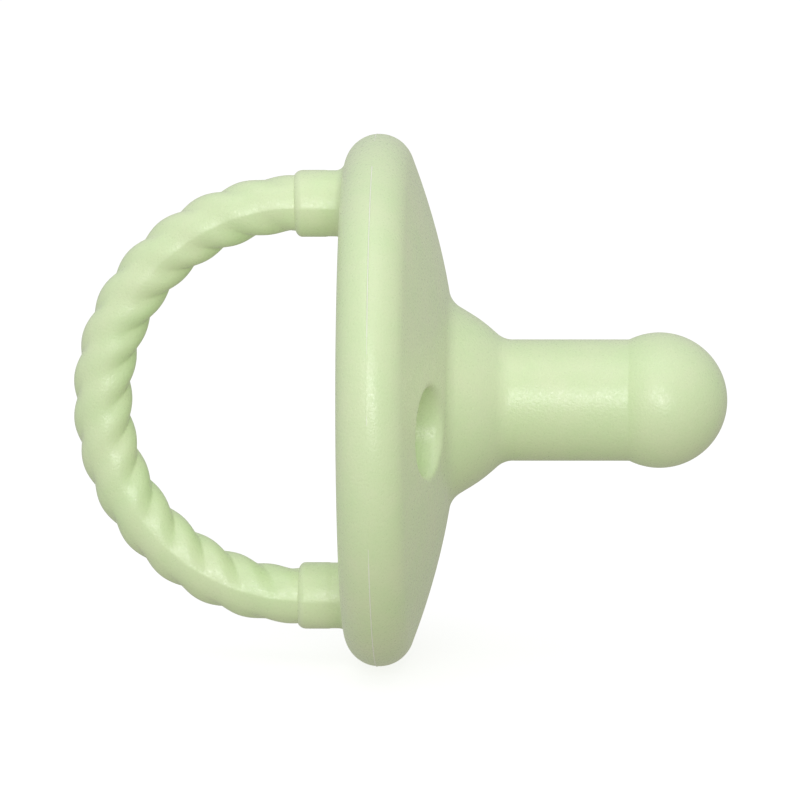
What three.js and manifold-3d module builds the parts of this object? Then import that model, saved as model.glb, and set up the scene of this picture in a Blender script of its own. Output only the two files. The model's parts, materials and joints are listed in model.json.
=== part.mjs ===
// A one-material silicone pacifier: a domed round shield with two vent holes, a hollow nipple with a
// round bulb in front of it, and behind it a half-ring handle moulded as a rope of three strands.
//
// The real pacifier is one flexible moulding. Here it is divided at its creases, and the places
// where the silicone bends are ball seats: a rounded end that turns in a hollow of the same centre.
//
// Millimetres, +Z up, +X along the nipple towards its tip. The handle lies in the XZ plane.
// While the pieces are shaped, x = 0 is the flat back of the shield; the whole is then moved so
// that the origin is the centre of the object's bounding box, which lies on the nipple's axis.

import * as THREE from 'three';
import { mergeVertices } from 'three/addons/utils/BufferGeometryUtils.js';
import Module from 'manifold-3d';

const wasm = await Module();
wasm.setup();

// ---- driving dimensions ----

const GAP = 0.3;                    // clearance between pieces that face each other

const SHIELD_RADIUS = 27.0;
const RIM_ROUND = 3.5;              // radius of the shield's full-round rim
const DOME_RADIUS = 64.6;           // radius of the sphere that the front follows
const DOME_HEIGHT = 11.5;           // from the back to where that dome would peak

const VENT_RADIUS = 4.5;
const VENT_OFFSET = 16.9;           // from the nipple's axis to a vent hole's axis

const MOUTH_RADIUS = 8.0;           // the nipple's hollow at the shield's back
const MOUTH_ROUND = 1.2;

const FLARE_BASE_RADIUS = 10.4;
const FLARE_FILLET = { x: 11.1, r: 9.75 };    // the corner that the fillet from the shield rounds off
const FLARE_SHOULDER = { x: 11.8, r: 9.4 };   // where that fillet becomes the shoulder
const FLARE_BELLY = { x: 14.15, r: 8.58 };    // the corner that the shoulder's curve rounds off
const FLARE_FOOT = { x: 15.6, r: 6.85 };      // where the shoulder becomes the fillet to the neck
const FLARE_BORE_END = 15.4;        // where the flare's hollow meets the neck's seat
const SEAT_X = 10.5;                // the plane where the flare stands on the shield

const NECK_RADIUS = 6.15;
const NECK_BORE = 4.55;
const NECK_START = 16.9;
const NECK_END = 28.75;

const BULB_RADIUS = 6.87;
const BULB_CENTRE = 31.87;
const BULB_WALL = 1.62;

const SEAT_BALL = 6.8;              // radius of the hollow seat at each end of the neck

const HANDLE_RADIUS = 20.25;        // of the half ring's centre line
const HANDLE_CENTRE = -4.36;        // where that centre line's centre lies
const COLLAR_RADIUS = 3.35;
const COLLAR_END = -4.87;           // the collars' face towards the rope
const COLLAR_ROUND = 0.75;
const RECESS_DEPTH = 0.4;           // of the round recess in the shield's back that each collar stands in

const STRANDS = 3;
const STRAND_RADIUS = 2.24;
const STRAND_OFFSET = 0.76;         // from the rope's centre line to a strand's
const ROPE_BALL = 2.95;             // radius of the rope's round ends, which turn in the collars
const SWING_X = -6.9;               // the handle swings about the line through both round ends
const ROPE_TURN = THREE.MathUtils.degToRad(35.0);    // of the half ring, for one turn of a strand
const GROOVE_OUTWARD = THREE.MathUtils.degToRad(-11.5);  // where on the ring a groove faces outward

const ROUND_STEPS = 64;             // segments round the shield
const NIPPLE_STEPS = 44;
const COLLAR_STEPS = 28;
const ROPE_STEPS = 80;
const ROPE_END_STEPS = 5;           // more steps, along each round end
const STRAND_STEPS = 6;             // points along each strand of the rope's section

// ---- derived places ----

const NECK_ROOT_PIVOT = NECK_START + Math.sqrt(SEAT_BALL ** 2 - NECK_RADIUS ** 2);
const NECK_TIP_PIVOT = NECK_END - Math.sqrt(SEAT_BALL ** 2 - NECK_RADIUS ** 2);
const ROPE_RADIUS = STRAND_OFFSET + STRAND_RADIUS;
const SWING_ANGLE = Math.acos((HANDLE_CENTRE - SWING_X) / HANDLE_RADIUS);   // of SWING_X on the ring
const OBJECT_FRONT = BULB_CENTRE + BULB_RADIUS;
const OBJECT_BACK = HANDLE_CENTRE - HANDLE_RADIUS - ROPE_RADIUS;

// ---- outlines: every turned piece is a list of (x, r) points, turned about the X axis ----

/** Points on a circle about (x, r), from one angle to another, measured from +X towards +r. */
function arc(x, r, radius, fromDegrees, toDegrees, steps) {
  const points = [];
  for (let i = 0; i <= steps; i += 1) {
    const angle = THREE.MathUtils.degToRad(THREE.MathUtils.lerp(fromDegrees, toDegrees, i / steps));
    points.push([x + radius * Math.cos(angle), r + radius * Math.sin(angle)]);
  }
  return points;
}

/** Points on a ball about (x, 0), between two distances from the axis. Side is 1 in front of x, -1 behind. */
function ballZone(x, radius, fromR, toR, side, steps) {
  const start = Math.asin(fromR / radius);
  const end = Math.asin(toR / radius);
  const points = [];
  for (let i = 0; i <= steps; i += 1) {
    const angle = THREE.MathUtils.lerp(start, end, i / steps);
    points.push([x + side * radius * Math.cos(angle), radius * Math.sin(angle)]);
  }
  return points;
}

/** Points on a quadratic curve between two points. */
function curve(from, control, to, steps) {
  const path = new THREE.QuadraticBezierCurve(
    new THREE.Vector2(...from),
    new THREE.Vector2(...control),
    new THREE.Vector2(...to),
  );
  return path.getPoints(steps).map((point) => [point.x, point.y]);
}

/** A closed solid turned about the X axis from a closed outline of (x, r) points. */
function turned(outline, segments) {
  const area = outline.reduce((sum, [x, r], i) => {
    const [nextX, nextR] = outline[(i + 1) % outline.length];
    return sum + x * nextR - nextX * r;
  }, 0);
  const ordered = area < 0 ? outline : [...outline].reverse();
  const points = [...ordered, ordered[0]].map(([x, r]) => new THREE.Vector2(Math.max(r, 0), x));
  const geometry = new THREE.LatheGeometry(points, segments);
  geometry.rotateZ(-Math.PI / 2);
  return geometry;
}

// ---- joins and cuts ----

/** A geometry with one copy of each corner and nothing but its position. */
function welded(geometry) {
  const bare = geometry.clone();
  bare.deleteAttribute('normal');
  bare.deleteAttribute('uv');
  return mergeVertices(bare, 1e-3);
}

/** The same shape as a solid that can be cut. */
function solid(geometry) {
  const bare = welded(geometry);
  const mesh = new wasm.Mesh({
    numProp: 3,
    vertProperties: new Float32Array(bare.attributes.position.array),
    triVerts: new Uint32Array(bare.index.array),
  });
  mesh.merge();
  return new wasm.Manifold(mesh);
}

/** The body less every tool. */
function cut(body, tools) {
  const rest = tools.reduce((left, tool) => left.subtract(solid(tool)), solid(body));
  const mesh = rest.getMesh();
  const geometry = new THREE.BufferGeometry();
  geometry.setAttribute('position', new THREE.BufferAttribute(mesh.vertProperties, 3));
  geometry.setIndex(new THREE.BufferAttribute(mesh.triVerts, 1));
  return geometry;
}

// ---- the pieces ----

/** How far the front of the shield stands above its back, at a distance from the axis. */
function domeHeight(r) {
  return DOME_HEIGHT - r ** 2 / (2 * DOME_RADIUS);
}

/** The distance from the axis at which the dome passes a given height. */
function domeRadiusAt(x) {
  return Math.sqrt(2 * DOME_RADIUS * (DOME_HEIGHT - x));
}

/** Two rods through the shield, where the vent holes go. */
function ventRods() {
  const length = 3 * DOME_HEIGHT;
  return [-1, 1].map((side) => {
    const rod = new THREE.CylinderGeometry(VENT_RADIUS, VENT_RADIUS, length, 32);
    rod.rotateZ(Math.PI / 2);
    rod.translate(0, side * VENT_OFFSET, 0);
    return rod;
  });
}

/** The shallow round recesses in the shield's back that the collars stand in. */
function collarRecesses() {
  return [-1, 1].map((side) => {
    const radius = COLLAR_RADIUS + GAP;
    const recess = new THREE.CylinderGeometry(radius, radius, 2 * RECESS_DEPTH, 32);
    recess.rotateZ(Math.PI / 2);
    return recess.translate(0, 0, side * HANDLE_RADIUS);
  });
}

/** The domed disc: flat back, full-round rim, flared mouth, and a seat for the nipple's flare. */
function shieldGeometry() {
  const rimCentre = SHIELD_RADIUS - RIM_ROUND;
  const slope = Math.atan2(rimCentre, DOME_RADIUS - RIM_ROUND);   // of the dome where the rim starts
  const domeEdge = rimCentre + RIM_ROUND * Math.sin(slope);
  const domeInner = domeRadiusAt(SEAT_X);
  const domeSteps = 7;
  const dome = [];
  for (let i = 0; i <= domeSteps; i += 1) {
    const r = THREE.MathUtils.lerp(domeEdge, domeInner, i / domeSteps);
    dome.push([domeHeight(r), r]);
  }
  const outline = [
    ...arc(MOUTH_ROUND, MOUTH_RADIUS + MOUTH_ROUND, MOUTH_ROUND, 270, 180, 4),
    ...arc(RIM_ROUND, rimCentre, RIM_ROUND, 180, THREE.MathUtils.radToDeg(slope), 13),
    ...dome.slice(1),
    [SEAT_X, flareBore(SEAT_X)],
  ];
  return cut(turned(outline, ROUND_STEPS), [...ventRods(), ...collarRecesses()]);
}

/** The radius of the hollow where it passes from the shield into the flare. */
function flareBore(x) {
  const taper = (MOUTH_RADIUS - NECK_BORE) / NECK_START;
  return MOUTH_RADIUS - taper * x * (x / NECK_START);
}

/** The hollow shoulder between shield and neck, with a ball seat in its front end. */
function flareGeometry() {
  const base = SEAT_X + GAP;
  const shoulder = [FLARE_SHOULDER.x, FLARE_SHOULDER.r];
  const outline = [
    [base, flareBore(base)],
    ...curve([base, FLARE_BASE_RADIUS], [FLARE_FILLET.x, FLARE_FILLET.r], shoulder, 3),
    ...curve(shoulder, [FLARE_BELLY.x, FLARE_BELLY.r], [FLARE_FOOT.x, FLARE_FOOT.r], 4).slice(1),
    ...ballZone(NECK_ROOT_PIVOT, SEAT_BALL, NECK_RADIUS, flareBore(FLARE_BORE_END), -1, 4),
  ];
  return turned(outline, NIPPLE_STEPS);
}

/** The straight hollow neck: both ends are rounded about a pivot, to turn in a seat. */
function neckGeometry() {
  const ball = SEAT_BALL - GAP;
  const outline = [
    ...ballZone(NECK_ROOT_PIVOT, ball, NECK_BORE, NECK_RADIUS, -1, 3),
    ...ballZone(NECK_TIP_PIVOT, ball, NECK_RADIUS, NECK_BORE, 1, 3),
  ];
  return turned(outline, NIPPLE_STEPS);
}

/** The hollow round tip, with a seat for the end of the neck. */
function bulbGeometry() {
  const inner = BULB_RADIUS - BULB_WALL;
  const reach = BULB_CENTRE - NECK_TIP_PIVOT;
  const meetX = (SEAT_BALL ** 2 - inner ** 2 + reach ** 2) / (2 * reach);
  const openingR = Math.sqrt(SEAT_BALL ** 2 - meetX ** 2);
  const openingX = NECK_TIP_PIVOT + meetX - BULB_CENTRE;
  const openingAngle = THREE.MathUtils.radToDeg(Math.atan2(openingR, openingX));
  const rootAngle = 180 - THREE.MathUtils.radToDeg(Math.asin(NECK_RADIUS / BULB_RADIUS));
  const outline = [
    ...arc(BULB_CENTRE, 0, BULB_RADIUS, 0, rootAngle, 11),
    ...ballZone(NECK_TIP_PIVOT, SEAT_BALL, NECK_RADIUS, openingR, 1, 3).slice(1),
    ...arc(BULB_CENTRE, 0, inner, openingAngle, 0, 9).slice(1),
  ];
  return turned(outline, NIPPLE_STEPS);
}

/** One plain collar: a short cylinder, rounded at its far edge and hollowed there for the rope's end. */
function collarGeometry(side) {
  const foot = RECESS_DEPTH - GAP;
  const outline = [
    [foot, 0],
    [foot, COLLAR_RADIUS],
    ...arc(COLLAR_END + COLLAR_ROUND, COLLAR_RADIUS - COLLAR_ROUND, COLLAR_ROUND, 90, 180, 3),
    [COLLAR_END, 0],
  ];
  const hollow = new THREE.SphereGeometry(ROPE_BALL + GAP, 36, 24);
  const inward = HANDLE_RADIUS * (1 - Math.sin(SWING_ANGLE));
  hollow.translate(SWING_X, 0, -side * inward);
  return cut(turned(outline, COLLAR_STEPS), [hollow]);
}

/** The rope's section: round strands side by side about its centre, meeting in sharp grooves. */
function ropeSection() {
  const halfStrand = Math.PI / STRANDS;
  const shape = new THREE.Shape();
  for (let strand = 0; strand < STRANDS; strand += 1) {
    for (let i = 0; i < STRAND_STEPS; i += 1) {
      const fromStrand = THREE.MathUtils.lerp(-halfStrand, halfStrand, i / STRAND_STEPS);
      const along = STRAND_OFFSET * Math.cos(fromStrand);
      const across = STRAND_OFFSET * Math.sin(fromStrand);
      const radius = along + Math.sqrt(STRAND_RADIUS ** 2 - across ** 2);
      const angle = 2 * halfStrand * (strand + 0.5) + fromStrand;
      const point = [radius * Math.cos(angle), radius * Math.sin(angle)];
      if (strand === 0 && i === 0) {
        shape.moveTo(...point);
      } else {
        shape.lineTo(...point);
      }
    }
  }
  shape.closePath();
  return shape;
}

/** Where each step of the rope lies on the ring, and the share of its full width that it has there. */
function ropeStations() {
  const roundEnd = [];
  for (let i = 1; i <= ROPE_END_STEPS; i += 1) {
    const angle = (Math.PI / 2) * (i / (ROPE_END_STEPS + 0.5));
    roundEnd.push({
      ringAngle: SWING_ANGLE + (ROPE_BALL * Math.sin(angle)) / HANDLE_RADIUS,
      width: Math.min(1, (ROPE_BALL * Math.cos(angle)) / ROPE_RADIUS),
    });
  }
  const stations = roundEnd.map(({ ringAngle, width }) => ({ ringAngle: -ringAngle, width })).reverse();
  for (let i = 0; i <= ROPE_STEPS; i += 1) {
    const ringAngle = THREE.MathUtils.lerp(-SWING_ANGLE, SWING_ANGLE, i / ROPE_STEPS);
    stations.push({ ringAngle, width: 1 });
  }
  return [...stations, ...roundEnd];
}

/** The rope: its section pushed along a straight bar, then twisted and bent to the half ring. */
function ropeGeometry() {
  const stations = ropeStations();
  const steps = stations.length - 1;
  const bar = new THREE.ExtrudeGeometry(ropeSection(), { depth: 1, steps, bevelEnabled: false });
  const position = bar.attributes.position;
  for (let i = 0; i < position.count; i += 1) {
    const { ringAngle, width } = stations[Math.round(position.getZ(i) * steps)];
    const twist = (2 * Math.PI * (ringAngle - GROOVE_OUTWARD)) / ROPE_TURN;
    const radius = width * Math.hypot(position.getX(i), position.getY(i));
    const angle = Math.atan2(position.getY(i), position.getX(i)) + twist;
    const outward = HANDLE_RADIUS + radius * Math.cos(angle);
    position.setXYZ(
      i,
      HANDLE_CENTRE - outward * Math.cos(ringAngle),
      -radius * Math.sin(angle),
      outward * Math.sin(ringAngle),
    );
  }
  return bar;
}

// ---- the assembly ----

/** Light green matt silicone; every piece has a material of its own. */
function silicone() {
  return new THREE.MeshStandardMaterial({ color: 0xcfe5b4, roughness: 0.55, metalness: 0 });
}

/** A named piece. */
function piece(name, geometry) {
  const mesh = new THREE.Mesh(geometry, silicone());
  mesh.name = name;
  return mesh;
}

const nipple = new THREE.Group();
nipple.add(piece('nipple_flare', flareGeometry()));
nipple.add(piece('nipple_neck', neckGeometry()));
nipple.add(piece('nipple_bulb', bulbGeometry()));

const handle = new THREE.Group();
const upperCollar = piece('handle_collar_upper', collarGeometry(1));
upperCollar.position.z = HANDLE_RADIUS;
const lowerCollar = piece('handle_collar_lower', collarGeometry(-1));
lowerCollar.position.z = -HANDLE_RADIUS;
handle.add(upperCollar, lowerCollar, piece('handle_rope', ropeGeometry()));

const pacifier = new THREE.Group();
pacifier.add(piece('shield', shieldGeometry()), nipple, handle);
pacifier.position.x = -(OBJECT_FRONT + OBJECT_BACK) / 2;

export default pacifier;
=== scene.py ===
"""The looks of a one-material silicone pacifier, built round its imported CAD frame.

Every surface is shaped in millimetres from the middle of the shield's flat back: +X runs along the
nipple towards its tip, and the handle's half ring lies in the XZ plane. It is then put into the row
frame in metres. Three skins stand for the one moulding that the real pacifier is:
the shield with the first half of the nipple's neck, the other half with the bulb, and the handle.
"""

import json
import math

import bmesh
import bpy
import numpy as np
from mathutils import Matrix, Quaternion, Vector


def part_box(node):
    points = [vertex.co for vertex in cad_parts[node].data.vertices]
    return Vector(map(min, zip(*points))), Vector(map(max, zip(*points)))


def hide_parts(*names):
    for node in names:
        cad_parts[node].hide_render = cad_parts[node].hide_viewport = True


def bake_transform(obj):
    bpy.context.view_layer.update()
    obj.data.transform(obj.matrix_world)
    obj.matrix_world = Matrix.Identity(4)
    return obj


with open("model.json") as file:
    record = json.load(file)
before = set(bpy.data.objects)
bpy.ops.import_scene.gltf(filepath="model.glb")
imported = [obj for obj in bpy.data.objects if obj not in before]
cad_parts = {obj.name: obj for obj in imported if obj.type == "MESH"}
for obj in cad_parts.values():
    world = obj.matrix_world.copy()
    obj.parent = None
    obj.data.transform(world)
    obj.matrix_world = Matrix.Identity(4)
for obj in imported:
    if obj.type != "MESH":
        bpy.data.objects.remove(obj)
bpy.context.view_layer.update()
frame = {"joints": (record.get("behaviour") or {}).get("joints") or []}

MM = 0.001
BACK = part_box("shield")[0].x        # the plane of the shield's back, in the row frame


def from_back(x):
    """A place along X in the row frame, as millimetres from the shield's back."""
    return (x - BACK) / MM


def joint_place(name):
    """Where a joint's axis crosses the XZ plane, in millimetres from the shield's back."""
    joint = next(j for j in frame["joints"] if j["name"] == name)
    return from_back(joint["pos_m"][0])


# ---- sizes, in millimetres ----

SHIELD_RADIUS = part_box("shield")[1].z / MM
RIM_ROUND = 3.5
DOME_RADIUS = 64.6
DOME_HEIGHT = 11.5
RIDGE_HEIGHT = 0.08                 # the parting line's ridge on the rim
RIDGE_PLACE = 94.0                  # where its crest lies on the rim's round, in degrees from +X
RIDGE_WIDTH = 1.8                   # degrees of the rim's round to each side of its crest
RIDGE_LEAST = 0.15                  # share of the height left at the rim's two sides
RIDGE_GROWS = (0.3, 0.65)           # it grows between these heights up or down, as shares of the radius
RIDGE_TOP = (0.8, 0.9)              # share lost at the very top, and the height from which it fades
RIDGE_FOOT = (0.5, 0.93)            # the same at the foot
RIDGE_WAVES = [                     # (share of the height, waves round the rim, start in radians)
    (0.16, 5, 1.0),
    (0.12, 13, 0.0),
    (0.08, 29, 2.0),
]
PAINTED_HIGHLIGHT_HEIGHT = 0.02                  # the ridge is painted pale above this height, a painted highlight along its crest

VENT_RADIUS = 4.45
VENT_OFFSET = 16.9
VENT_LIP = (0.4, 1.0)               # radii that round its edge, farthest from the axis and nearest to it
VENT_BLOCK = (11.3, 22.5)           # distances from the axis between which the grid makes room for a vent
VENT_LEAN = 0.35                    # share of the block's own unevenness that the vent's spokes keep

MOUTH_RADIUS = 8.0
MOUTH_ROUND = 1.2

FLARE_CORNERS = [                   # (x, distance from the axis, radius that rounds the corner)
    (10.71, 10.04, 2.4),
    (13.9, 8.1, 14.0),
    (16.15, 6.12, 2.4),
]
NECK_RADIUS = 6.15
NECK_BORE = 4.55
NECK_START = 16.9
CREASE_ROUND = 0.5                  # of the corner between the neck and the bulb
BULB_RADIUS = 6.87
BULB_WALL = 1.62
BULB_TIP = from_back(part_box("nipple_bulb")[1].x)
BULB_CENTRE = BULB_TIP - BULB_RADIUS

ROOT_PIVOT = joint_place("neck_bend")
TIP_PIVOT = joint_place("bulb_bend")
NECK_SEAM = (ROOT_PIVOT + TIP_PIVOT) / 2        # where the shield's skin ends and the bulb's begins
SEAM_DISH = 0.3                     # both cut ends are hollowed, so that only their edges meet

collar_low, collar_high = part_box("handle_collar_upper")
COLLAR_RADIUS = (collar_high.z - collar_low.z) / 2 / MM
HANDLE_RADIUS = (collar_high.z + collar_low.z) / 2 / MM
HANDLE_CENTRE = -4.36
COLLAR_LENGTH = 4.87
COLLAR_ROUND = 0.75
COLLAR_SOFTNESS = 0.3               # of the step from the collar down to the rope
ROOT_FILLET = 0.8
ROOT_DEPTHS = (1.0, 0.4)            # of the handle's first rings, inside the shield

STRANDS = 3
STRAND_RADIUS = 2.24
STRAND_OFFSET = 0.76
ROPE_TURN = math.radians(35.0)
GROOVE_OUTWARD = math.radians(-11.5)
GROOVE_LEVEL = 0.4                  # share of a groove's depth at which the rope is round where relief fades
SIDE_RELIEF = 0.25                  # share of the strands' relief left on the ring's two sides
OUTER_RELIEF = (0.7, 1.0)           # cosines of the section's angle between which it grows, outside the ring
INNER_RELIEF = (-0.05, 1.0)         # the same inside the ring
COLLAR_RELIEF = 0.4                 # share of the relief left at the collars
COLLAR_FADE = 8.0                   # length over which it grows from there
CUSP_HEIGHT = 0.1                   # the parting lines on the handle's two sides
CUSP_WIDTH = 0.5                    # radians of the section to each side of their crest
CUSP_LEAST = 0.12                   # share of the height left where the ring is farthest back
CUSP_GROWS = (30, 58)               # degrees round the ring, from there, between which it grows

ROUND_STEPS = 192                   # segments round the nipple's axis
VENT_STEPS = 22                     # grid cells along each side of a vent's block
LIP_STEPS = 7                       # rings in a vent's lip, and as many from the block to the lip
BACK_STEPS = 5                      # along the back, from the vents' blocks to the mouth
MOUTH_STEPS = 8                     # in the mouth's rounded edge
BORE_STEPS = 15                     # along the hollow, from the mouth to the neck
NECK_BORE_STEPS = 12                # along the hollow, in the first half of the neck
NECK_STEPS = 16                     # along each half of the neck
BULB_STEPS = 44                     # along the bulb's outline
HOLLOW_STEPS = 28                   # along the outline of its hollow
ROPE_STEPS = 360                    # along the rope
SECTION_STEPS = 144                 # segments round the handle's section
SHARP_ANGLE = math.radians(50)


# ---- small tools ----

def smooth_step(value, low, high):
    """0 below low, 1 above high, and an even curve between."""
    t = np.clip((np.asarray(value, float) - low) / (high - low), 0, 1)
    return t * t * (3 - 2 * t)


def arc(x, r, radius, start, end, steps):
    """Points on a circle about (x, r), between two angles in degrees measured from +X."""
    angles = np.radians(np.linspace(start, end, steps + 1))
    return [(x + radius * math.cos(a), r + radius * math.sin(a)) for a in angles]


def line(start, end, steps):
    """Points from start to end, without the first."""
    share = np.linspace(0, 1, steps + 1)[1:]
    return [(start[0] + (end[0] - start[0]) * t, start[1] + (end[1] - start[1]) * t) for t in share]


def rounded(before, corners, after, turn=4.0):
    """An outline through corners, each rounded by its own radius, from one plain point to another.
    Turn is the angle between its points, in degrees."""
    stops = [np.array(before, float), *[np.array(c[:2], float) for c in corners], np.array(after, float)]
    points = [tuple(stops[0])]
    for i, (_, _, radius) in enumerate(corners, start=1):
        back = stops[i - 1] - stops[i]
        ahead = stops[i + 1] - stops[i]
        back /= np.linalg.norm(back)
        ahead /= np.linalg.norm(ahead)
        between = math.acos(float(np.clip(back @ ahead, -1, 1)))
        middle = back + ahead
        centre = stops[i] + middle / np.linalg.norm(middle) * radius / math.sin(between / 2)
        first = stops[i] + back * radius / math.tan(between / 2) - centre
        swept = math.pi - between
        side = np.sign(first[0] * ahead[1] - first[1] * ahead[0])
        steps = max(2, math.ceil(math.degrees(swept) / turn))
        for angle in np.linspace(0, swept, steps + 1) * side:
            turned = (
                first[0] * math.cos(angle) - first[1] * math.sin(angle),
                first[0] * math.sin(angle) + first[1] * math.cos(angle),
            )
            points.append((centre[0] + turned[0], centre[1] + turned[1]))
    return [*points, tuple(stops[-1])]


class Skin:
    """One closed surface, gathered ring by ring: points in millimetres and the faces between them.
    Its painted-highlight faces are the ones on a parting line, which are coloured pale as a painted
    highlight."""

    def __init__(self):
        self.points = []
        self.faces = []
        self.painted_highlight_faces = []

    def ring(self, x, y, z):
        """Adds a ring of points and returns their numbers."""
        rows = np.stack(np.broadcast_arrays(x, y, z), axis=-1).reshape(-1, 3)
        first = len(self.points)
        self.points.extend(rows.tolist())
        return list(range(first, first + len(rows)))

    def band(self, a, b, skipped=()):
        """Faces between two rings of the same length, apart from the skipped segments."""
        count = len(a)
        for i in range(count):
            j = (i + 1) % count
            if i not in skipped:
                self.faces.append((a[i], a[j], b[j], b[i]))

    def bands(self, rings):
        """Faces between each ring and the next."""
        for a, b in zip(rings, rings[1:]):
            self.band(a, b)

    def fan(self, ring, x, y, z):
        """Closes a ring with one point."""
        tip = self.ring(x, y, z)[0]
        for i in range(len(ring)):
            self.faces.append((ring[i], ring[(i + 1) % len(ring)], tip))


def add_piece(name, skin, *materials):
    """Makes a skin into a mesh in the row frame, smooth but for its sharp corners.
    Its painted-highlight faces get the second material, a pale colour that is a painted highlight."""
    mesh = bpy.data.meshes.new(name)
    points = np.array(skin.points) * MM + np.array([BACK, 0, 0])
    mesh.from_pydata(points.tolist(), [], skin.faces)
    for material in materials:
        mesh.materials.append(material)
    for face in skin.painted_highlight_faces:
        mesh.polygons[face].material_index = 1
    editable = bmesh.new()
    editable.from_mesh(mesh)
    unused = [v for v in editable.verts if not v.link_faces]
    bmesh.ops.delete(editable, geom=unused, context="VERTS")
    bmesh.ops.recalc_face_normals(editable, faces=editable.faces)
    editable.to_mesh(mesh)
    editable.free()
    mesh.shade_smooth()
    mesh.set_sharp_from_angle(angle=SHARP_ANGLE)
    piece = bpy.data.objects.new(name, mesh)
    bpy.context.scene.collection.objects.link(piece)
    return piece


# ---- the shield and the first half of the neck ----

ROUND = 2 * math.pi * np.arange(ROUND_STEPS) / ROUND_STEPS     # from +Y, where one vent is, towards +Z


def dome_height(r):
    """How far the shield's front stands above its back, at a distance from the axis."""
    return DOME_HEIGHT - r ** 2 / (2 * DOME_RADIUS)


def flat_height(r):
    """The same for the back itself."""
    return 0 * r


def ridge_share(angle):
    """How much of the parting line's ridge is left round the rim: most in its upper and lower parts,
    less at the very top and foot, and least at the two sides."""
    uneven = sum(share * np.sin(waves * angle + start) for share, waves, start in RIDGE_WAVES)
    height = np.sin(angle)
    top_loss, top_start = RIDGE_TOP
    foot_loss, foot_start = RIDGE_FOOT
    lost = top_loss * smooth_step(height, top_start, 1.0) + foot_loss * smooth_step(-height, foot_start, 1.0)
    grown = RIDGE_LEAST + (1 - RIDGE_LEAST) * smooth_step(np.abs(height), *RIDGE_GROWS)
    return np.clip(grown - lost + uneven, 0, 1)


def rim_stations():
    """(x, distance from the axis, share of the ridge) over the full-round rim, from front to back."""
    centre = SHIELD_RADIUS - RIM_ROUND
    slope = math.degrees(math.atan2(centre, DOME_RADIUS - RIM_ROUND))
    crest = RIDGE_PLACE
    before = np.linspace(slope, crest - 2 * RIDGE_WIDTH, 18)
    across = crest + RIDGE_WIDTH * np.array([-1.4, -1, -0.75, -0.5, -0.25, 0, 0.25, 0.5, 0.75, 1, 1.4])
    behind = np.linspace(crest + 2 * RIDGE_WIDTH, 180, 22)
    stations = []
    for degrees in [*before, *across, *behind]:
        angle = math.radians(degrees)
        x = RIM_ROUND + RIM_ROUND * math.cos(angle)
        r = centre + RIM_ROUND * math.sin(angle)
        ridge = max(0.0, 1 - ((degrees - crest) / RIDGE_WIDTH) ** 2) ** 2
        stations.append((x, r, ridge))
    return stations


def bore_radius(x):
    """The radius of the hollow, which narrows from the mouth to the neck."""
    share = min(x / NECK_START, 1)
    return MOUTH_RADIUS - (MOUTH_RADIUS - NECK_BORE) * share ** 2


def block_edge(rings, segment):
    """The numbers of the grid points round a vent's block, from the middle of its outer side."""
    half = VENT_STEPS // 2
    outer, inner = rings[-1], rings[0]
    left, right = segment + half, segment - half
    edge = [outer[j % ROUND_STEPS] for j in range(segment, left)]
    edge += [ring[left % ROUND_STEPS] for ring in rings[:0:-1]]
    edge += [inner[j % ROUND_STEPS] for j in range(left, right, -1)]
    edge += [ring[right % ROUND_STEPS] for ring in rings[:-1]]
    edge += [outer[j % ROUND_STEPS] for j in range(right, segment)]
    return edge


def vent_side(skin, rings, segment, height, inward):
    """Joins one face of the shield to a vent hole with a rounded lip, and returns the lip's last ring.
    Inward is the way into the hole along X."""
    edge = block_edge(rings, segment)
    middle = ROUND[segment]
    outward = np.array([math.cos(middle), math.sin(middle)])
    sideways = np.array([-outward[1], outward[0]])
    centre = outward * VENT_OFFSET
    start = np.array([skin.points[i] for i in edge])[:, 1:]
    seen = np.unwrap(np.arctan2((start - centre) @ sideways, (start - centre) @ outward))
    even = 2 * math.pi * np.arange(len(edge)) / len(edge)
    around = even + VENT_LEAN * (seen - even)
    spokes = np.cos(around)[:, None] * outward + np.sin(around)[:, None] * sideways

    outer_lip, inner_lip = VENT_LIP
    lip_radius = outer_lip + (inner_lip - outer_lip) * (1 - np.cos(around)) / 2

    made = [edge]
    lip = centre + (VENT_RADIUS + lip_radius)[:, None] * spokes
    for share in np.linspace(0, 1, LIP_STEPS + 1)[1:]:
        place = start + (lip - start) * share
        made.append(skin.ring(height(np.linalg.norm(place, axis=1)), place[:, 0], place[:, 1]))
    corner = centre + VENT_RADIUS * spokes
    lip_x = height(np.linalg.norm(lip, axis=1))
    corner_x = height(np.linalg.norm(corner, axis=1))
    for t in np.linspace(0, 1, LIP_STEPS + 1)[1:]:
        x = (1 - t) ** 2 * lip_x + 2 * t * (1 - t) * corner_x + t ** 2 * (corner_x + inward * lip_radius)
        place = (1 - t) ** 2 * lip + (1 - (1 - t) ** 2) * corner
        made.append(skin.ring(x, place[:, 0], place[:, 1]))
    skin.bands(made)
    return made[-1]


def vent_wall(skin, front, back, steps=10):
    """The wall of a vent hole, between the lips on its two sides."""
    start = np.array([skin.points[i] for i in front])
    end = np.array([skin.points[i] for i in back])
    middle = [
        skin.ring(*(start + (end - start) * share).T)
        for share in np.linspace(0, 1, steps + 1)[1:-1]
    ]
    skin.bands([front, *middle, back])


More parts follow.
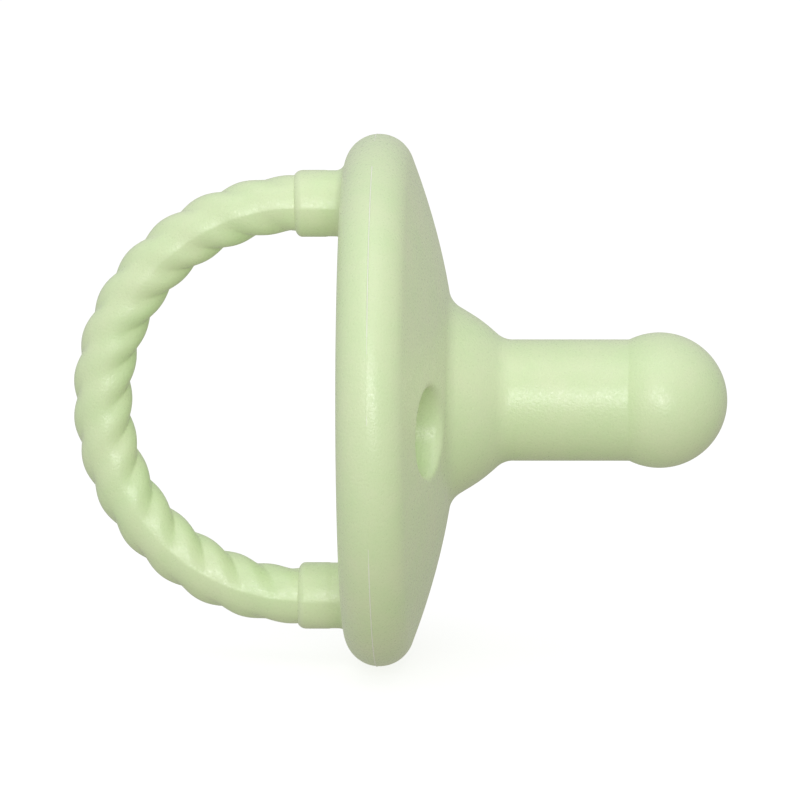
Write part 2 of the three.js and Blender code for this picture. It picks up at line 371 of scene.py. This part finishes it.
def shield_skin():
    """Neck, flare, domed front, rim, flat back, mouth and bore, with the two vent holes through them."""
    block = np.linspace(*VENT_BLOCK, VENT_STEPS + 1)
    rim = rim_stations()
    shoulder_start = (dome_height(block[0]), block[0])
    shoulder_end = (NECK_START + 0.4, NECK_RADIUS)
    neck_end = (NECK_SEAM, NECK_RADIUS)
    shoulder = rounded(shoulder_start, FLARE_CORNERS, shoulder_end)
    neck = [*shoulder, *line(shoulder[-1], neck_end, NECK_STEPS)]

    plain = [(x, r, 0) for x, r in reversed(neck[1:])]
    front = [(dome_height(r), r, 0) for r in block]
    beyond = [(dome_height(r), r, 0) for r in np.linspace(block[-1], rim[0][1], 5)[1:-1]]
    behind = [(0, r, 0) for r in np.linspace(rim[-1][1], block[-1], 3)[1:-1]]
    back = [(0, r, 0) for r in reversed(block)]
    towards_mouth = line((0, block[0]), (0, MOUTH_RADIUS + MOUTH_ROUND), BACK_STEPS)
    mouth = arc(MOUTH_ROUND, MOUTH_RADIUS + MOUTH_ROUND, MOUTH_ROUND, 180, 270, MOUTH_STEPS)[1:]
    bore = [(x, bore_radius(x)) for x in np.linspace(MOUTH_ROUND, NECK_START, BORE_STEPS + 1)[1:]]
    bore += line(bore[-1], (NECK_SEAM, NECK_BORE), NECK_BORE_STEPS)
    dish = (NECK_SEAM - SEAM_DISH, (NECK_RADIUS + NECK_BORE) / 2)
    inside = [(x, r, 0) for x, r in [*towards_mouth, *mouth, *bore, dish]]
    stations = [*plain, *front, *beyond, *rim, *behind, *back, *inside]

    skin = Skin()
    ridge = RIDGE_HEIGHT * ridge_share(ROUND)
    rings = []
    for x, r, share in stations:
        reach = r + share * ridge
        rings.append(skin.ring(x, reach * np.cos(ROUND), reach * np.sin(ROUND)))

    first_front = len(plain)
    first_back = first_front + len(front) + len(beyond) + len(rim) + len(behind)
    vents = (0, ROUND_STEPS // 2)
    half = VENT_STEPS // 2
    open_segments = {(v + j) % ROUND_STEPS for v in vents for j in range(-half, half)}
    in_block = {*range(first_front, first_front + VENT_STEPS), *range(first_back, first_back + VENT_STEPS)}
    for i, ring in enumerate(rings):
        after = (i + 1) % len(rings)
        skin.band(ring, rings[after], open_segments if i in in_block else ())
        height = min(stations[i][2], stations[after][2]) * ridge
        newest = len(skin.faces) - ROUND_STEPS
        # faces where the ridge stands high enough get the pale colour of a painted highlight
        skin.painted_highlight_faces += [newest + j for j in range(ROUND_STEPS) if height[j] > PAINTED_HIGHLIGHT_HEIGHT]

    front_rings = rings[first_front:first_front + VENT_STEPS + 1]
    back_rings = rings[first_back:first_back + VENT_STEPS + 1][::-1]
    for segment in vents:
        front_end = vent_side(skin, front_rings, segment, dome_height, -1)
        back_end = vent_side(skin, back_rings, segment, flat_height, 1)
        vent_wall(skin, front_end, back_end)
    return skin


# ---- the second half of the neck and the bulb ----

def bulb_skin():
    """The neck from its seam, the crease where it meets the bulb, and the bulb with its hollow."""
    crease_x = BULB_CENTRE - math.sqrt((BULB_RADIUS + CREASE_ROUND) ** 2 - (NECK_RADIUS + CREASE_ROUND) ** 2)
    crease_end = math.degrees(math.atan2(-(NECK_RADIUS + CREASE_ROUND), BULB_CENTRE - crease_x))
    crease = arc(crease_x, NECK_RADIUS + CREASE_ROUND, CREASE_ROUND, -90, crease_end, 6)
    outer = arc(BULB_CENTRE, 0, BULB_RADIUS, crease_end + 180, 0, BULB_STEPS)[1:-1]
    inner_radius = BULB_RADIUS - BULB_WALL
    opening = 180 - math.degrees(math.asin(NECK_BORE / inner_radius))
    inner = arc(BULB_CENTRE, 0, inner_radius, 0, opening, HOLLOW_STEPS)[1:]
    neck = [(NECK_SEAM, NECK_RADIUS), *line((NECK_SEAM, NECK_RADIUS), crease[0], NECK_STEPS)]
    bore = line(inner[-1], (NECK_SEAM, NECK_BORE), NECK_STEPS)
    dish = (NECK_SEAM + SEAM_DISH, (NECK_RADIUS + NECK_BORE) / 2)

    skin = Skin()
    outside = [skin.ring(x, r * np.cos(ROUND), r * np.sin(ROUND)) for x, r in [*neck, *crease[1:], *outer]]
    inside = [skin.ring(x, r * np.cos(ROUND), r * np.sin(ROUND)) for x, r in [*inner, *bore, dish]]
    skin.bands(outside)
    skin.bands(inside)
    skin.band(inside[-1], outside[0])
    skin.fan(outside[-1], BULB_CENTRE + BULB_RADIUS, 0, 0)
    skin.fan(inside[0], BULB_CENTRE + inner_radius, 0, 0)
    return skin


# ---- the handle ----

SECTION = 2 * math.pi * np.arange(SECTION_STEPS) / SECTION_STEPS   # from outward, towards the -Y side
STRAIGHT = -HANDLE_CENTRE                                          # of each leg, before the half ring
HANDLE_LENGTH = 2 * STRAIGHT + math.pi * HANDLE_RADIUS


def strand_reach(off_crest):
    """How far round strands reach from the rope's centre line, at an angle from a strand's crest."""
    across = STRAND_OFFSET * np.sin(off_crest)
    return STRAND_OFFSET * np.cos(off_crest) + np.sqrt(STRAND_RADIUS ** 2 - across ** 2)


def rope_radius(ring_angle, distance):
    """The rope's radius round its section. The grooves are deep and sharp on the inside and outside of
    the ring, soft and shallow on its two sides, and shallower near the collars."""
    pitch = 2 * math.pi / STRANDS
    twist = 2 * math.pi * (ring_angle - GROOVE_OUTWARD) / ROPE_TURN
    off_crest = (SECTION - twist) % pitch - pitch / 2
    crest = strand_reach(0)
    groove = strand_reach(pitch / 2)
    sharp = strand_reach(off_crest)
    soft = (crest + groove) / 2 + (crest - groove) / 2 * np.cos(STRANDS * off_crest)

    outward = np.cos(SECTION)
    at_edge = np.maximum(smooth_step(outward, *OUTER_RELIEF), smooth_step(-outward, *INNER_RELIEF))
    relief = SIDE_RELIEF + (1 - SIDE_RELIEF) * at_edge
    grown = smooth_step(distance, COLLAR_LENGTH, COLLAR_LENGTH + COLLAR_FADE)
    near = COLLAR_RELIEF + (1 - COLLAR_RELIEF) * grown
    middle = crest - GROOVE_LEVEL * (crest - groove)
    return middle + (soft + (sharp - soft) * near * relief ** 2 - middle) * relief * near


def collar_radius(distance):
    """The collar's radius at a distance from the shield, none past its rounded end."""
    past = distance - (COLLAR_LENGTH - COLLAR_ROUND)
    if past <= 0:
        return COLLAR_RADIUS
    if past >= COLLAR_ROUND:
        return 0.0
    return COLLAR_RADIUS - COLLAR_ROUND + math.sqrt(COLLAR_ROUND ** 2 - past ** 2)


def parting_cusp(ring_angle):
    """The low sharp crest along the handle's two sides, which fades where the ring is farthest back."""
    off_side = np.abs(np.abs(np.angle(np.exp(1j * SECTION))) - math.pi / 2)
    crest = np.clip(1 - off_side / CUSP_WIDTH, 0, 1) ** 2
    share = CUSP_LEAST + (1 - CUSP_LEAST) * smooth_step(abs(math.degrees(ring_angle)), *CUSP_GROWS)
    return CUSP_HEIGHT * share * crest


def handle_stations():
    """Distances along the handle, closer together where a collar meets the rope."""
    collar_edge = COLLAR_LENGTH - COLLAR_ROUND
    step_start = COLLAR_LENGTH - 0.3
    step_end = COLLAR_LENGTH + 0.15
    rope_start = COLLAR_LENGTH + 1
    leg = [
        *np.linspace(ROOT_FILLET, collar_edge, 14)[:-1],
        *np.linspace(collar_edge, step_start, 8)[:-1],
        *np.linspace(step_start, step_end, 18)[:-1],
        *np.linspace(step_end, rope_start, 8)[:-1],
    ]
    rope = np.linspace(rope_start, HANDLE_LENGTH - rope_start, ROPE_STEPS)
    return [*leg, *rope, *[HANDLE_LENGTH - d for d in reversed(leg)]]


def handle_ring(skin, along, radius):
    """A ring of the handle's section at a distance along its centre line."""
    if along < STRAIGHT:
        outward = np.array([0.0, 1.0])
        centre = np.array([-along, HANDLE_RADIUS])
    elif along > HANDLE_LENGTH - STRAIGHT:
        outward = np.array([0.0, -1.0])
        centre = np.array([along - HANDLE_LENGTH, -HANDLE_RADIUS])
    else:
        ring_angle = math.pi / 2 - (along - STRAIGHT) / HANDLE_RADIUS
        outward = np.array([-math.cos(ring_angle), math.sin(ring_angle)])
        centre = np.array([HANDLE_CENTRE, 0]) + HANDLE_RADIUS * outward
    reach = radius * np.cos(SECTION)
    x, z = centre[:, None] + outward[:, None] * reach
    return skin.ring(x, -radius * np.sin(SECTION), z)


def root_rings(skin, side):
    """The fillet from the shield's back to a collar, from inside the shield outwards.
    Its foot follows the back where that curves away into the rim."""
    rim_centre = SHIELD_RADIUS - RIM_ROUND
    foot = COLLAR_RADIUS + ROOT_FILLET
    foot_r = np.hypot(foot * np.sin(SECTION), HANDLE_RADIUS + foot * np.cos(SECTION))
    onto_rim = np.clip(foot_r - rim_centre, 0, RIM_ROUND)
    foot_x = RIM_ROUND - np.sqrt(RIM_ROUND ** 2 - onto_rim ** 2)
    rings = [(foot_x + depth, foot) for depth in ROOT_DEPTHS]
    for share in np.linspace(0, 1, 9)[:-1]:
        angle = share * math.pi / 2
        x = foot_x * (1 - share) - ROOT_FILLET * (1 - math.cos(angle))
        rings.append((x, foot - ROOT_FILLET * math.sin(angle)))
    cusp = parting_cusp(math.pi / 2)
    cusp_start = 3
    made = []
    for i, (x, radius) in enumerate(rings):
        wide = radius + cusp * smooth_step(i, cusp_start, len(rings))
        height = side * (HANDLE_RADIUS + wide * np.cos(SECTION))
        made.append(skin.ring(x, -wide * np.sin(SECTION), height))
    return made


def handle_skin():
    """Two collars standing in fillets on the shield's back, and the half ring of rope between them."""
    skin = Skin()
    rings = root_rings(skin, 1)
    plain_end = ROOT_FILLET + 1
    for along in handle_stations():
        distance = min(along, HANDLE_LENGTH - along)
        ring_angle = math.pi / 2 - (along - STRAIGHT) / HANDLE_RADIUS
        ring_angle = float(np.clip(ring_angle, -math.pi / 2, math.pi / 2))
        rope = rope_radius(ring_angle, distance)
        collar = collar_radius(distance)
        both = (rope + collar + np.sqrt((rope - collar) ** 2 + COLLAR_SOFTNESS ** 2)) / 2
        radius = both if distance > plain_end else collar + 0 * rope
        rings.append(handle_ring(skin, along, radius + parting_cusp(ring_angle)))
    rings += root_rings(skin, -1)[::-1]
    skin.bands(rings)
    skin.fan(rings[0], ROOT_DEPTHS[0], 0, HANDLE_RADIUS)
    skin.fan(rings[-1], ROOT_DEPTHS[0], 0, -HANDLE_RADIUS)
    return skin


# ---- the material ----

CLOUD_SCALE = 160.0                 # the noises' cells in a metre: here of the colour,
SWELL_SCALE = 420.0                 # here of the low swells in the surface,
GRAIN_SCALE = 3800.0                # here of its moulded grain,
GLINT_SCALE = 4200.0                # and here of the small glossy spots in it
BUMP_HEIGHT = 0.00006               # of the swells and the grain, in metres


def add_node(tree, kind, **inputs):
    """A shader node with some of its inputs set."""
    node = tree.nodes.new(kind)
    for name, value in inputs.items():
        node.inputs[name.replace("_", " ")].default_value = value
    return node


def silicone_material(name, greenest, palest):
    """Light green matt silicone: uneven between two colours, with a fine-grained moulded surface."""
    material = bpy.data.materials.new(name)
    material.use_nodes = True
    tree = material.node_tree
    shader = tree.nodes["Principled BSDF"]
    shader.inputs["Specular IOR Level"].default_value = 0.6
    shader.inputs["Sheen Weight"].default_value = 0.12
    shader.inputs["Sheen Roughness"].default_value = 0.5
    shader.inputs["Sheen Tint"].default_value = (1.0, 0.85, 0.88, 1)
    place = tree.nodes.new("ShaderNodeTexCoord").outputs["Object"]

    cloud = add_node(tree, "ShaderNodeTexNoise", Scale=CLOUD_SCALE, Detail=4.0, Roughness=0.7)
    tint = tree.nodes.new("ShaderNodeValToRGB")
    tint.color_ramp.elements[0].position = 0.3
    tint.color_ramp.elements[0].color = (*greenest, 1)
    tint.color_ramp.elements[1].position = 0.7
    tint.color_ramp.elements[1].color = (*palest, 1)
    tree.links.new(place, cloud.inputs["Vector"])
    tree.links.new(cloud.outputs["Fac"], tint.inputs["Fac"])
    tree.links.new(tint.outputs["Color"], shader.inputs["Base Color"])

    grain = add_node(tree, "ShaderNodeTexNoise", Scale=GRAIN_SCALE, Detail=2.0, Roughness=0.6)
    swell = add_node(tree, "ShaderNodeTexNoise", Scale=SWELL_SCALE, Detail=2.0, Roughness=0.5)
    for node in (grain, swell):
        tree.links.new(place, node.inputs["Vector"])
    polish = add_node(tree, "ShaderNodeMapRange", From_Min=0.35, From_Max=0.65, To_Min=0.27, To_Max=0.42)
    tree.links.new(grain.outputs["Fac"], polish.inputs["Value"])
    tree.links.new(polish.outputs["Result"], shader.inputs["Roughness"])

    glints = add_node(tree, "ShaderNodeTexNoise", Scale=GLINT_SCALE, Detail=1.0, Roughness=0.5)
    sparks = add_node(tree, "ShaderNodeMapRange", From_Min=0.52, From_Max=0.66, To_Min=0.0, To_Max=0.5)
    shader.inputs["Coat Roughness"].default_value = 0.26
    tree.links.new(place, glints.inputs["Vector"])
    tree.links.new(glints.outputs["Fac"], sparks.inputs["Value"])
    tree.links.new(sparks.outputs["Result"], shader.inputs["Coat Weight"])

    coarse = add_node(tree, "ShaderNodeBump", Strength=0.25, Distance=BUMP_HEIGHT)
    fine = add_node(tree, "ShaderNodeBump", Strength=0.7, Distance=BUMP_HEIGHT)
    tree.links.new(swell.outputs["Fac"], coarse.inputs["Height"])
    tree.links.new(grain.outputs["Fac"], fine.inputs["Height"])
    tree.links.new(coarse.outputs["Normal"], fine.inputs["Normal"])
    tree.links.new(fine.outputs["Normal"], shader.inputs["Normal"])
    return material


# ---- the object ----


silicone = silicone_material("silicone", (0.67, 0.84, 0.475), (0.735, 0.845, 0.525))
# a pale colour painted on the parting line's ridge on the rim: a painted highlight, not a colour of the
# silicone
parting_line_painted_highlight = silicone_material("parting_line_painted_highlight", (0.83, 0.9, 0.7), (0.88, 0.92, 0.76))

shield = add_piece("shield_skin", shield_skin(), silicone, parting_line_painted_highlight)
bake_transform(shield)
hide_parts("shield", "nipple_flare", "nipple_neck")

bulb = add_piece("bulb_skin", bulb_skin(), silicone)
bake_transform(bulb)
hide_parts("nipple_bulb")

handle = add_piece("handle_skin", handle_skin(), silicone)
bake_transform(handle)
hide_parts("handle_collar_upper", "handle_collar_lower", "handle_rope")


# ---- floor, light and camera ----

def add_floor(half, glow):
    """A wide pale floor just under the shield's rim, which glows so that it looks plain white.
    It throws no light or shadow on the object."""
    mesh = bpy.data.meshes.new("floor")
    level = -(SHIELD_RADIUS + RIDGE_HEIGHT) * MM
    corners = [(-half, -half, level), (half, -half, level), (half, half, level), (-half, half, level)]
    mesh.from_pydata(corners, [], [(0, 1, 2, 3)])
    material = bpy.data.materials.new("floor")
    material.use_nodes = True
    shader = material.node_tree.nodes["Principled BSDF"]
    shader.inputs["Base Color"].default_value = (0.35, 0.35, 0.35, 1)
    shader.inputs["Roughness"].default_value = 0.9
    shader.inputs["Specular IOR Level"].default_value = 0.1
    shader.inputs["Emission Color"].default_value = (1, 1, 1, 1)
    shader.inputs["Emission Strength"].default_value = glow
    mesh.materials.append(material)
    floor = bpy.data.objects.new("floor", mesh)
    floor.visible_diffuse = False
    floor.visible_glossy = False
    floor.visible_shadow = False
    bpy.context.scene.collection.objects.link(floor)


def direction(azimuth, elevation):
    """The way from the object to a viewpoint. Azimuth 0 is -Y and 90 is +X, in degrees."""
    a, e = math.radians(azimuth), math.radians(elevation)
    return Vector((math.sin(a) * math.cos(e), -math.cos(a) * math.cos(e), math.sin(e)))


def add_light(name, azimuth, elevation, distance, size, power):
    """A square soft white light aimed at the object."""
    data = bpy.data.lights.new(name, "AREA")
    data.size = size
    data.energy = power
    lamp = bpy.data.objects.new(name, data)
    bpy.context.scene.collection.objects.link(lamp)
    back = direction(azimuth, elevation)
    lamp.location = back * distance
    lamp.rotation_euler = (-back).to_track_quat("-Z", "Y").to_euler()


def add_world(dim, bright, brightest_way):
    """Light from all round, brightest one way and dim from the opposite one."""
    world = bpy.data.worlds.new("world")
    world.use_nodes = True
    tree = world.node_tree
    background = tree.nodes["Background"]
    way = tree.nodes.new("ShaderNodeTexCoord").outputs["Generated"]
    towards = tree.nodes.new("ShaderNodeVectorMath")
    towards.operation = "DOT_PRODUCT"
    towards.inputs[1].default_value = Vector(brightest_way).normalized()
    share = add_node(tree, "ShaderNodeMapRange", From_Min=-1.0, From_Max=1.0)
    colour = tree.nodes.new("ShaderNodeValToRGB")
    colour.color_ramp.elements[0].color = (*dim, 1)
    colour.color_ramp.elements[1].color = (*bright, 1)
    tree.links.new(way, towards.inputs[0])
    tree.links.new(towards.outputs["Value"], share.inputs["Value"])
    tree.links.new(share.outputs["Result"], colour.inputs["Fac"])
    tree.links.new(colour.outputs["Color"], background.inputs["Color"])
    bpy.context.scene.world = world


def add_camera(azimuth, elevation, roll, distance, width):
    """A long lens aimed at the object: width is what the frame takes in there, in metres."""
    data = bpy.data.cameras.new("camera")
    data.sensor_width = 36
    data.lens = data.sensor_width * distance / width
    data.clip_start = 0.05
    data.clip_end = 20
    camera = bpy.data.objects.new("camera", data)
    bpy.context.scene.collection.objects.link(camera)
    back = direction(azimuth, elevation)
    level = (-back).to_track_quat("-Z", "Y")
    camera.location = back * distance
    camera.rotation_mode = "QUATERNION"
    camera.rotation_quaternion = level @ Quaternion((0, 0, 1), math.radians(roll))
    bpy.context.scene.camera = camera


add_floor(half=4.0, glow=0.78)
add_world(dim=(0.37, 0.36, 0.29), bright=(0.67, 0.67, 0.71), brightest_way=(-0.3, 0, 1))
add_light("key", azimuth=-3, elevation=20, distance=1.1, size=0.38, power=2.55)
add_light("side", azimuth=10, elevation=8, distance=1.1, size=0.24, power=1.5)
add_light("top", azimuth=0, elevation=68, distance=1.0, size=0.9, power=1.75)
add_camera(azimuth=2.2, elevation=11.0, roll=-0.4, distance=1.2, width=0.0811)
bpy.context.scene.view_settings.view_transform = "Standard"
